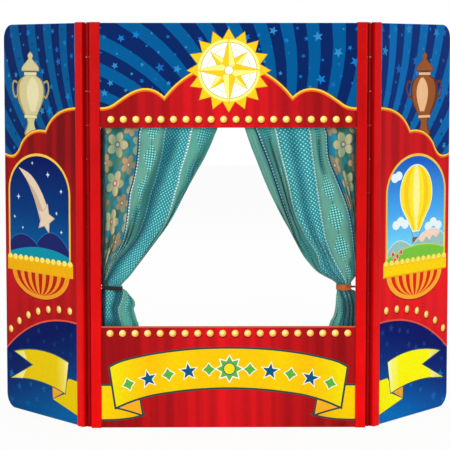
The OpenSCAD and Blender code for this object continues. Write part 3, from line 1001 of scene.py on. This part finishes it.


# Curtains


# stripes: motif and width, from the cloth's outer edge. ends: places across the flat cloth.
# levels: a height, then how far across the curtain each end lies there, in thousandths.
# folds and tail: how far forward the cloth comes above and below the tie, as (share across, share) knots;
# they set the painted shade in the folds too.
# fold_shift: how far across the folds move low down. seed: what sets the two curtains' ripples apart.
# creases: strength, place, half width, then the heights where it starts, is full, ebbs and is gone; a crease
# deepens a fold and its painted shade.
# inner: the inner edge. waist: inner and outer edge at the tie. pull: how far above and below it is felt.
# hollows: strength of a painted shadow, the x where it starts and is full, and the z where it ebbs and is
# gone; they darken the cloth beside the channel and in the tail below the tie.
CURTAINS = {
    LEFT: {
        "stripes": [("blossoms", 75), ("line", 2.5), ("dots", 2.5), ("diamonds", 36), ("dots", 2.5),
                    ("lattice", 45.5), ("dots", 2.5), ("checks", 38.5)],
        "ends": [0, 75, 80, 116, 118.5, 164, 166.5, 186, 205],
        "levels": [
            (476, 0, 315, 335, 535, 552, 755, 775, 890, 1000),
            (386, 0, 369, 395, 595, 610, 815, 840, 950, 1000),
            (356, 0, 340, 372, 585, 600, 855, 878, 1000, 960),
            (327, 0, 360, 390, 600, 620, 905, 925, 1000, 900),
            (281, 0, 405, 430, 620, 640, 940, 960, 1000, 860),
            (266, 0, 370, 410, 540, 560, 945, 965, 1000, 840),
            (251, 0, 280, 320, 370, 400, 950, 970, 1000, 820),
            (236, 0, 250, 280, 300, 330, 960, 975, 1000, 800),
            (212, 0, 150, 170, 190, 220, 950, 970, 1000, 840),
            (188, 0, 30, 40, 70, 80, 520, 550, 800, 1000),
            (118, 0, 40, 50, 90, 100, 600, 630, 820, 1000),
        ],
        "folds": [(0, 0.0), (0.07, 0.85), (0.16, 0.35), (0.25, 0.95), (0.36, 0.4), (0.44, 1.0), (0.52, 0.9),
                  (0.585, 0.1), (0.65, 0.0), (0.75, 0.9), (0.81, 0.95), (0.86, 0.9), (0.95, 0.35),
                  (1.06, 0.0)],
        "fold_shift": 0.055,
        "creases": [(0.8, 0.47, 0.045, 255, 290, 320, 345), (0.8, 0.4, 0.055, 235, 255, 285, 310)],
        "tail": [(0, 0.2), (0.4, 0.6), (0.57, 0.4), (0.63, 0.95), (0.69, 0.75), (0.735, 0.0), (0.79, 0.15),
                 (0.83, 0.9), (0.9, 0.95), (0.95, 0.4), (1.0, 0.7)],
        "inner": [(-16, 451), (-26.8, 424), (-35.7, 406), (-46, 388), (-56, 370), (-74, 334.5),
                  (-83.6, 316.5), (-95, 298.5), (-108.5, 280.5), (-122, 262.5), (-135.6, 244.6),
                  (-147, 229.5), (-159.6, 216), (-159.8, 211), (-152.5, 205.5), (-148, 199), (-144, 195),
                  (-140.6, 189.5), (-140.2, 184), (-142, 179.5), (-140, 171.5), (-137.5, 162),
                  (-134.8, 153.5), (-132.5, 118)],
        "waist": (160, 188.2),
        "pull": (1.2, 1.2),
        "hollows": [(1.7, 181, 186.5, 462, 470), (1.5, 150, 176, 146, 182)],
        "seed": 3.7,
    },
    RIGHT: {
        "stripes": [("blossoms", 58), ("line", 2.5), ("dots", 2.5), ("diamonds", 36), ("dots", 2.5),
                    ("lattice", 45.5), ("dots", 2.5), ("checks", 36.5), ("dots", 2.5), ("line", 2.5),
                    ("plain", 14)],
        "ends": [0, 58, 63, 99, 101.5, 147, 149.5, 186, 191, 205],
        "levels": [
            (476, 0, 262, 284, 408, 425, 712, 732, 895, 925, 1000),
            (401, 0, 278, 312, 432, 448, 735, 755, 862, 895, 1000),
            (363, 0, 183, 222, 440, 460, 745, 765, 865, 900, 1000),
            (333, 0, 110, 145, 460, 478, 790, 805, 885, 925, 1000),
            (311, 0, 68, 110, 480, 500, 810, 825, 915, 955, 1000),
            (281, 0, 40, 75, 490, 510, 775, 790, 965, 990, 980),
            (259, 0, 30, 50, 470, 490, 670, 690, 990, 1000, 960),
            (236, 0, 20, 40, 400, 430, 860, 875, 990, 1000, 950),
            (212, 0, 30, 50, 330, 350, 860, 880, 980, 990, 900),
            (186, 0, 30, 40, 80, 90, 520, 540, 880, 900, 1000),
            (118, 0, 40, 50, 100, 110, 540, 560, 860, 880, 1000),
        ],
        "folds": [(0, 0.05), (0.08, 0.85), (0.15, 0.4), (0.22, 0.8), (0.285, 0.3), (0.36, 1.0), (0.45, 0.9),
                  (0.495, 0.6), (0.55, 0.95), (0.62, 0.3), (0.69, 0.95), (0.735, 0.8), (0.85, 0.2),
                  (0.925, 0.35), (0.965, 1.0), (1.0, 0.6)],
        "fold_shift": 0.0,
        "creases": [(0.85, 0.4, 0.04, 365, 400, 500, 510), (0.8, 0.775, 0.035, 215, 245, 330, 370),
                    (0.8, 0.33, 0.04, 200, 222, 245, 262)],
        "tail": [(0, 0.1), (0.3, 0.5), (0.5, 0.1), (0.54, 0.7), (0.58, 0.1), (0.63, 0.7), (0.68, 0.05),
                 (0.74, 0.3), (0.8, 0.95), (0.88, 0.8), (0.94, 1.0), (1.0, 0.5)],
        "inner": [(23.8, 451), (33.2, 424), (44, 397), (54.6, 370.5), (66.8, 343.5), (80.9, 316.5),
                  (91.2, 298.5), (100.3, 280.5), (109.9, 262.6), (116, 253.6), (123.3, 244.6), (131.9, 235.6),
                  (140.8, 229.6), (150, 225), (157.5, 220.7), (162.6, 216), (163, 208), (162.3, 200),
                  (161.6, 188), (160, 176), (157.2, 166.5), (152, 155.5), (146, 118)],
        "waist": (163, 183),
        "pull": (12, 3.5),
        "hollows": [(1.0, 182, 189, 462, 470), (1.15, 165, 176, 186, 206)],
        "seed": 8.1,
    },
}
# The flat cloth, its hems, and the rows and columns of its mesh
CLOTH_W = 205
HEM = 11
SIDE_HEM = 7
COLUMNS = 236
HANG_ROWS = 150
POCKET_ROWS = 26
# Where the curtain hangs: its outer edge and its foot, and its front, middle and back in depth
CURTAIN_OUTER = 190
CURTAIN_LOW = 118
CURTAIN_FRONT = 2.9
CURTAIN_MIDDLE = 7.6
CURTAIN_BACK = 17
# The outer edge runs on behind the channel by the tuck, up to its heights, and comes between two depths
# as it goes outward
EDGE_TUCK = 3.4
TUCK_ENDS = (441, 450)
EDGE_BACK = 5.6
BACK_FROM = (186.5, 189.6)
EDGE_FAR = 10.4
FAR_FROM = (187.5, 190)
# The waist's size, and how far above and below the tie the bundled cloth opens
WAIST_HALF_DEPTH = 4.6
WAIST_H = 6
OPENS_ABOVE = (6, 56)
OPENS_BELOW = (4, 30)
# Heights between which the cloth gathers under the rod, loses its shift and fills out, and the heading's top
GATHERS = (412, 452)
SHIFTS = (345, 430)
FILLS = (235, 330)
HEADING_Z = 475
# How deep the wide folds are, how much deeper where the cloth fills out, and how many narrower ones,
# fine ones and ruffles cross the cloth
FOLD_DEPTH = 9.4
FULL_DEPTH = 3.6
NARROW_FOLDS = 9.6
FINE_FOLDS = 23
RUFFLES = 31
# Rod pocket from its hem behind the rod, over the heading, to where the cloth hangs free
POCKET = [(3.2, 453), (3.5, 460), (3.6, 466), (2.6, 470.5), (1.2, 473), (0.5, 475), (-0.6, 475), (-1.3, 473),
          (-2.8, 470.5), (-3.6, 466), (-3.5, 460), (-3.4, 455)]


def smoothstep(value, low, high):
    t = np.clip((value - low) / (high - low), 0, 1)
    return t * t * (3 - 2 * t)


def blurred(grid, passes, axis):
    """The grid smoothed along one axis with its ends kept."""
    grid = np.moveaxis(grid, axis, 0).copy()
    for _ in range(passes):
        grid[1:-1] = (grid[:-2] + 2 * grid[1:-1] + grid[2:]) / 4
    return np.moveaxis(grid, 0, axis)


def profile(knots, at):
    """Smooth ups and downs through (place, height) knots."""
    knots = np.array(knots)
    which = np.clip(np.searchsorted(knots[:, 0], at, side="right") - 1, 0, len(knots) - 2)
    t = smoothstep(at, knots[which, 0], knots[which + 1, 0])
    return knots[which, 1] + (knots[which + 1, 1] - knots[which, 1]) * t


def curtain_folds(plan, s, z, x, gather):
    """How far forward in its fold each point of the cloth is, 0 to 1, and how much painted shade it gets in
    one.
    """
    seed = plan["seed"]
    ridge = profile(plan["folds"], s + plan["fold_shift"] * (1 - smoothstep(z, *SHIFTS)))
    for strength, place, half, low, full, ebbs, gone in plan["creases"]:
        window = smoothstep(z, low, full) * (1 - smoothstep(z, ebbs, gone))
        ridge = ridge * (1 - strength * window * np.exp(-((s - place) / half) ** 2))

    # Wide folds where the cloth is nearly flat, narrow ones where it is drawn together
    drift = 0.05 * np.sin(z / 61 + seed) + 0.03 * np.sin(z / 27 + 2 * seed)
    drawn = 1 - np.clip(np.abs(np.gradient(x, axis=1)) * (COLUMNS - 1) / CLOTH_W, 0, 1)
    drawn = blurred(blurred(smoothstep(drawn, 0.12, 0.62), 30, 1), 12, 0)
    sway = 0.34 * np.sin(19 * s + seed) + 0.22 * np.sin(33 * s + 3 * seed)
    narrow = 0.5 + 0.5 * np.sin(2 * math.pi * (s * NARROW_FOLDS + 2 * drift + sway)) * (
        0.8 + 0.2 * np.sin(27 * s + z / 45 + seed))
    tail = profile(plan["tail"], s + drift / 4)
    above_tie = smoothstep(z, TIE_Z - 3, TIE_Z + 3)
    # deep sets how far back the cloth lies; soft sets the painted shade in the folds, from the same ridges.
    deep, soft = (
        (ridge + part * (narrow - ridge) * drawn) * above_tie + tail * (1 - above_tie)
        for part in (0.75, 0.35)
    )
    fine = np.sin(2 * math.pi * (s * FINE_FOLDS - drift * 9) + 2 * seed)
    fold = deep * (1 - 0.4 * gather) + 0.2 * gather + 0.05 * fine * (0.4 + drawn)
    return np.clip(fold, -0.04, 1.05), 1 - np.clip(soft, 0, 1)


def curtain_shape(side):
    """Gathered cloth as arrays x, y, z in millimetres, a row for each height, and how much painted shade it
    gets.
    """
    plan = CURTAINS[side]
    seed = plan["seed"]
    s = np.linspace(0, 1, COLUMNS)
    pocket = np.array(smooth_line(POCKET, 8))
    pocket = pocket[np.linspace(0, len(pocket) - 1, POCKET_ROWS).astype(int)]
    free_offset, free_z = POCKET[-1]
    z = np.concatenate([pocket[:, 1], np.linspace(free_z, CURTAIN_LOW, HANG_ROWS + 1)[1:]])[:, None]
    rod_offset = np.concatenate([pocket[:, 0], np.full(HANG_ROWS, free_offset)])[:, None]
    in_pocket = (np.arange(len(z)) < POCKET_ROWS)[:, None]

    inner_line = smooth_line(plan["inner"])
    inner = np.interp(-z, [-p[1] for p in inner_line], [p[0] for p in inner_line])
    above, below = (np.clip(np.abs(z - TIE_Z) - WAIST_H / 2, 0, None) / length for length in plan["pull"])
    pull = np.exp(-np.where(z > TIE_Z, above, below) ** 2)
    tucked = EDGE_TUCK * (1 - smoothstep(z, *TUCK_ENDS)) * (1 - pull)
    outer = side * (CURTAIN_OUTER + tucked - (CURTAIN_OUTER - plan["waist"][1]) * pull)

    # Where each part of the cloth lies across the row
    levels = np.array(plan["levels"])
    share = np.stack([np.interp(-z[:, 0], -levels[:, 0], column) for column in levels.T[1:] / 1000], axis=-1)
    across = np.array([np.interp(s, np.array(plan["ends"]) / CLOTH_W, row) for row in share])
    across = blurred(blurred(across, 14, 1), 30, 0)
    across = across / across.max(axis=1, keepdims=True)
    x = outer + (inner - outer) * across

    gather = smoothstep(z, *GATHERS)
    fold, shade = curtain_folds(plan, s, z, x, gather)
    opened = np.where(z > TIE_Z, smoothstep(z - TIE_Z, *OPENS_ABOVE), smoothstep(TIE_Z - z, *OPENS_BELOW))
    near_tie = 1 - opened
    full = smoothstep(z, *FILLS) * (1 - gather) * (1 - smoothstep(np.abs(x) / CURTAIN_OUTER, 0.55, 0.95))
    hanging = CURTAIN_FRONT + (FOLD_DEPTH + FULL_DEPTH * full) * (1 - fold)
    envelope = np.sqrt(np.clip(1 - 0.9 * (2 * across - 1) ** 2, 0.06, 1))
    bundled = CURTAIN_MIDDLE - WAIST_HALF_DEPTH * envelope * (2 * fold - 1)
    y = hanging * (1 - near_tie) + bundled * near_tie

    # The pocket on the rod, ruffled, and its ruffles fading out below
    crumple = np.sin(z / 7.3 + 9 * s + seed) * np.sin(z / 19 - 31 * s)
    crumple = crumple + 0.6 * np.sin(z / 4.1 - 17 * s + 2 * seed)
    y = y + 0.42 * crumple * (0.35 + near_tie) * (1 - np.exp(-((z - TIE_Z) / 7) ** 2))
    ruffle = np.sin(2 * math.pi * RUFFLES * s + seed + 1.6 * np.sin(2 * math.pi * 5 * s))
    below = np.where(in_pocket, 0, free_z - z)
    pocket_y = ROD_Y + rod_offset + 0.75 * ruffle * np.exp(-below / 26) * np.sign(rod_offset)
    held = np.exp(-(below / 15) ** 2)
    y = y * (1 - held) + pocket_y * held + 0.6 * ruffle * np.exp(-below / 30) * (1 - held)
    tall = z + 0.9 * np.exp(-((z - HEADING_Z) / 3) ** 2) * ruffle
    y = np.maximum(y, EDGE_BACK * smoothstep(np.abs(x), *BACK_FROM))
    y = np.minimum(y, CURTAIN_BACK - (CURTAIN_BACK - EDGE_FAR) * smoothstep(np.abs(x), *FAR_FROM))
    # Painted shade: the folds' shade, less in the heading, and a painted shadow under the opening's top edge.
    sunk = np.where(in_pocket, 0, shade * (1 - 0.5 * held) + 0.3 * smoothstep(z, 438, OPENING_HIGH))
    # Painted shadows: the cloth darkens beside the channel, where its shadow falls, and in the tail below the
    # tie.
    for dark, near_x, far_x, low, high in plan["hollows"]:
        sunk = np.maximum(sunk, dark * smoothstep(np.abs(x), near_x, far_x) * (1 - smoothstep(z, low, high)))
    return x, y, tall, sunk


def run_along(steps, axis):
    """Distance from the first row or column, from the steps between them."""
    return np.insert(np.cumsum(steps, axis=axis), 0, 0, axis=axis)


def along_weft(x, z, down, ends):
    """Distance down the cloth with each stripe's weft square to the stripe, however the stripe leans."""
    lean = np.gradient(x, axis=0) / np.hypot(np.gradient(x, axis=0), np.gradient(z, axis=0))
    lean = blurred(lean, 20, 0)
    weft = down.copy()
    for first, last in zip(ends, ends[1:]):
        middle = [(first + last) // 2]
        part = slice(first, last + 1 if last == ends[-1] else last)
        weft[:, part] = down[:, middle] + (x[:, part] - x[:, middle]) * lean[:, middle]
    return weft


def make_curtain(side):
    word, plan = SIDES[side], CURTAINS[side]
    x, y, z, sunk = curtain_shape(side)
    points = np.stack([x, y, z], axis=-1)
    grid = np.arange(x.size).reshape(x.shape)
    quads = np.stack([grid[:-1, :-1], grid[:-1, 1:], grid[1:, 1:], grid[1:, :-1]], axis=-1).reshape(-1, 4)
    if side == LEFT:
        quads = quads[:, ::-1]

    along = run_along(np.linalg.norm(np.diff(points, axis=1), axis=-1), 1)
    down = run_along(blurred(np.hypot(np.diff(x, axis=0), np.diff(z, axis=0)), 12, 1), 0)
    ends = plan["ends"]
    spots = np.linspace(0, CLOTH_W, COLUMNS)
    across = np.array([np.interp(row, np.interp(ends, spots, row), ends) for row in along])
    weft = along_weft(x, z, down, np.interp(ends, spots, np.arange(COLUMNS)).round().astype(int))
    spread = np.stack([across, weft], axis=-1).reshape(-1, 2) * MM
    hem = np.minimum(np.minimum(across, CLOTH_W - across) + HEM - SIDE_HEM, down[-1] - down).ravel()

    cloth = Cloth(word + "_curtain_cloth", plan["stripes"]).material
    vertices = points.reshape(-1, 3) * MM
    piece = add_object(word + "_curtain_cloth", vertices, quads.tolist(), [cloth], spread[quads])
    piece.data.shade_smooth()
    # The painted shade and the hem's distance go to the cloth's finish as attributes.
    for label, values in (("sunk", sunk.ravel()), ("hem", hem * MM)):
        piece.data.attributes.new(label, "FLOAT", "POINT").data.foreach_set("value", values)
    doubled = piece.vertex_groups.new(name="doubled")
    doubled.add(np.flatnonzero(hem < HEM).tolist(), 1.0, "REPLACE")
    thick = piece.modifiers.new("thickness", "SOLIDIFY")
    thick.thickness = 0.9 * MM
    thick.offset = 0
    thick.vertex_group = "doubled"
    thick.thickness_vertex_group = 0.5
    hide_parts(word + "_curtain")
    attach(piece, "centre")


# Tie-backs: a band round each curtain's waist and a loop of cord on the channel's hook


BAND_HALF_DEPTH = 5.0
BAND_GAP = 0.2
BAND_THICK = 1.2
# The cord's loop: the middle and half height of its wide end, where and how far it narrows, and its radius
HOOK_X = 198.1
LOOP_REACH = 2.2
LOOP_OPENS = 194
LOOP_NARROW = 0.75
LOOP_CORD_R = 0.7


def closed_skin(name, rings, material, uv_size, turned=False):
    """Smooth surface through rings of points in millimetres, the last joined to the first."""
    count, around = len(rings), len(rings[0])
    square = ((0, 0), (1, 0), (1, 1), (0, 1)) if turned else ((0, 0), (0, 1), (1, 1), (1, 0))
    faces, uvs = [], []
    for i in range(count):
        for k in range(around):
            corners = [(i + a, k + b) for a, b in square]
            faces.append([row % count * around + column % around for row, column in corners])
            uvs += [(row * uv_size[0], column * uv_size[1]) for row, column in corners]
    piece = add_object(name, np.array(rings).reshape(-1, 3) * MM, faces, [material], uvs)
    piece.data.shade_smooth()
    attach(piece, "centre")
    return piece


def band_path(side, clearance, steps=72):
    """Rounded oblong round a curtain's waist, level."""
    inner, outer = CURTAINS[side]["waist"]
    half_w, half_d = (outer - inner) / 2 + clearance, BAND_HALF_DEPTH + clearance
    power = 2 / 3.4
    path = []
    for i in range(steps):
        c, d = polar((0, 0), 1, 2 * math.pi * i / steps)
        path.append((side * (inner + outer) / 2 + half_w * math.copysign(abs(c) ** power, c),
                     CURTAIN_MIDDLE + half_d * math.copysign(abs(d) ** power, d)))
    return path


def make_band(name, side, height, material, waves, lean):
    """Closed band, a little rumpled, with round corners in its section. Its inner end is lower by a lean."""
    inner, outer = CURTAINS[side]["waist"]
    path = band_path(side, BAND_GAP + BAND_THICK / 2)
    corner = BAND_THICK * 0.32
    section = []
    for cx, cz, start in ((1, 1, 0), (-1, 1, 90), (-1, -1, 180), (1, -1, 270)):
        middle = (cx * (BAND_THICK / 2 - corner), cz * (height / 2 - corner))
        section += oval(middle, corner, steps=2, start=start, end=start + 90)
    rings = []
    for i, here in enumerate(path):
        tangent = (Vector(path[(i + 1) % len(path)]) - Vector(path[i - 1])).normalized()
        away = Vector((tangent.y, -tangent.x))
        turn = 2 * math.pi * i / len(path)
        lift = waves * (0.5 * math.sin(2 * turn + 0.6) + 0.25 * math.sin(5 * turn))
        lift -= lean * (outer - abs(here[0])) / (outer - inner)
        pinch = 1 + 0.06 * waves * math.sin(7 * turn)
        ring = []
        for out, high in section:
            puff = 0.1 * waves * math.sin(9 * turn + 3 * high / height)
            spot = Vector(here) + away * (out + max(puff, 0))
            ring.append((spot.x, spot.y, TIE_Z + lift + high * pinch))
        rings.append(ring)
    return closed_skin(name, rings, material, (1.1 * MM, height / 6 * MM), turned=True)


def make_loop(name, side, material, sides=10):
    """Long loop of round cord, level with the rod's middle, wide at the hook and narrow at the band."""
    near = CURTAINS[side]["waist"][1] + BAND_GAP + LOOP_CORD_R + LOOP_NARROW
    line = oval((HOOK_X, TIE_Z), LOOP_REACH, steps=12, start=-90, end=90)
    line.append((LOOP_OPENS, TIE_Z + LOOP_NARROW))
    line += oval((near, TIE_Z), LOOP_NARROW, steps=12, start=90, end=270)
    line.append((LOOP_OPENS, TIE_Z - LOOP_NARROW))
    points = [Vector((side * x, ROD_Y, z)) for x, z in line]
    normal = (points[1] - points[-1]).normalized().orthogonal()
    circle = oval((0, 0), LOOP_CORD_R, steps=sides)
    rings = []
    for i, here in enumerate(points):
        tangent = (points[(i + 1) % len(points)] - points[i - 1]).normalized()
        normal = (normal - tangent * normal.dot(tangent)).normalized()
        rings.append([here + normal * a + tangent.cross(normal) * b for a, b in circle])
    return closed_skin(name, rings, material, (0.6 * MM, 0.5 * MM))


def make_tiebacks():
    black, brown = elastic(), tie_fabric()
    left = make_band("left_tieback_band", LEFT, 6.0, black, 0.5, 2.4)
    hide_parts("left_tieback")
    right = make_band("right_tieback_band", RIGHT, 8.5, brown, 1.0, 0.6)
    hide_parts("right_tieback")
    for side, word in SIDES.items():
        loop = make_loop(word + "_tieback_loop", side, black)
        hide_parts("left_tieback" if side == LEFT else "right_tieback_cord")


def dress_nodes():
    """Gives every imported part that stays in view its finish."""
    # Red by height share for each pair of channels, darker towards the top: painted shade.
    centre_reds = [(0.0, 232), (0.17, 226), (0.33, 214), (0.57, 199), (0.8, 187), (1.0, 189)]
    wing_reds = [(0.0, 232), (0.17, 227), (0.33, 214), (0.57, 207), (1.0, 202)]
    for material, names in (
        (fibreboard(), ("centre_board", "left_wing_board", "right_wing_board")),
        (edge_plastic("edge_plastic", centre_reds), ("left_centre_channel", "right_centre_channel")),
        (edge_plastic("wing_edge_plastic", wing_reds), ("left_wing_channel", "right_wing_channel")),
        (bracket_plastic(), ("left_rod_bracket", "right_rod_bracket")),
        # The hinge pins are dark, black-oxide steel, dark also as painted shade for the groove they sit in.
        (steel("dark_steel", (46, 38, 38), (74, 64, 62)), ("left_hinge_pin", "right_hinge_pin")),
        (steel("plain_steel", (150, 152, 156), (205, 207, 210)),
         ("curtain_rod", "bracket_screws", "left_tieback_hook", "right_tieback_hook")),
    ):
        for name in names:
            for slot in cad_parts[name].material_slots:
                slot.material = material


def make_stage():
    """Pale floor that keeps a soft shadow, even light all round, a key from the upper left and the camera."""
    scene = bpy.context.scene
    scene.view_settings.view_transform = "Standard"
    scene.world = bpy.data.worlds.new("studio")
    scene.world.use_nodes = True
    world = Nodes(scene.world.node_tree)
    world.tree.nodes.remove(world.tree.nodes["Background"])
    even, white = (world.node("Background", ((1, 1, 1), strength)) for strength in (0.52, 1.0))
    seen = world.seen_by("Camera").math("MAXIMUM", world.seen_by("Glossy"))
    lit = world.node("MixShader", (seen, even, white))
    world.plug(world.tree.nodes["World Output"].inputs["Surface"], lit)

    pale = Finish("floor_white", 0.9, Specular_IOR_Level=0.06, Base_Color=(0.9, 0.9, 0.9))
    shaded, glow = Value(pale, pale.shader.outputs[0]), pale.node("Emission")
    mixed = pale.node("MixShader", (pale.seen_by("Camera") * 0.93, shaded, glow))
    pale.plug(pale.tree.nodes["Material Output"].inputs["Surface"], mixed)
    half = 6.0
    corners = [(x, y, 0) for x, y in box(-half, -half, half, half)]
    floor = add_object("floor", corners, [(0, 1, 2, 3)], [pale.material])

    for name, place, size, power in (
        ("key", (-1.2, -2.3, 1.2), 0.9, 33),
        ("fill", (2.1, -1.7, 1.0), 1.4, 22),
        ("rear", (0.4, 2.4, 1.8), 1.6, 22),
    ):
        lamp = bpy.data.lights.new(name, "AREA")
        lamp.size = size
        lamp.energy = power
        holder = bpy.data.objects.new(name, lamp)
        holder.location = place
        holder.rotation_euler = (Vector((0, 0, 0.3)) - Vector(place)).to_track_quat("-Z", "Y").to_euler()
        scene.collection.objects.link(holder)

    # The photo's view: a long lens, nearly level, with a little shift
    lens = bpy.data.cameras.new("camera")
    lens.sensor_width = 36
    lens.lens = 132.07
    lens.shift_y = -0.09
    camera = bpy.data.objects.new("camera", lens)
    camera.location = (-0.0286, -2.45, 0.5568)
    camera.rotation_euler = (math.radians(90) - 0.07754, 0, -0.00956)
    scene.collection.objects.link(camera)
    scene.camera = camera


make_stage()
make_facings()
dress_nodes()
for side in SIDES:
    make_curtain(side)
make_tiebacks()
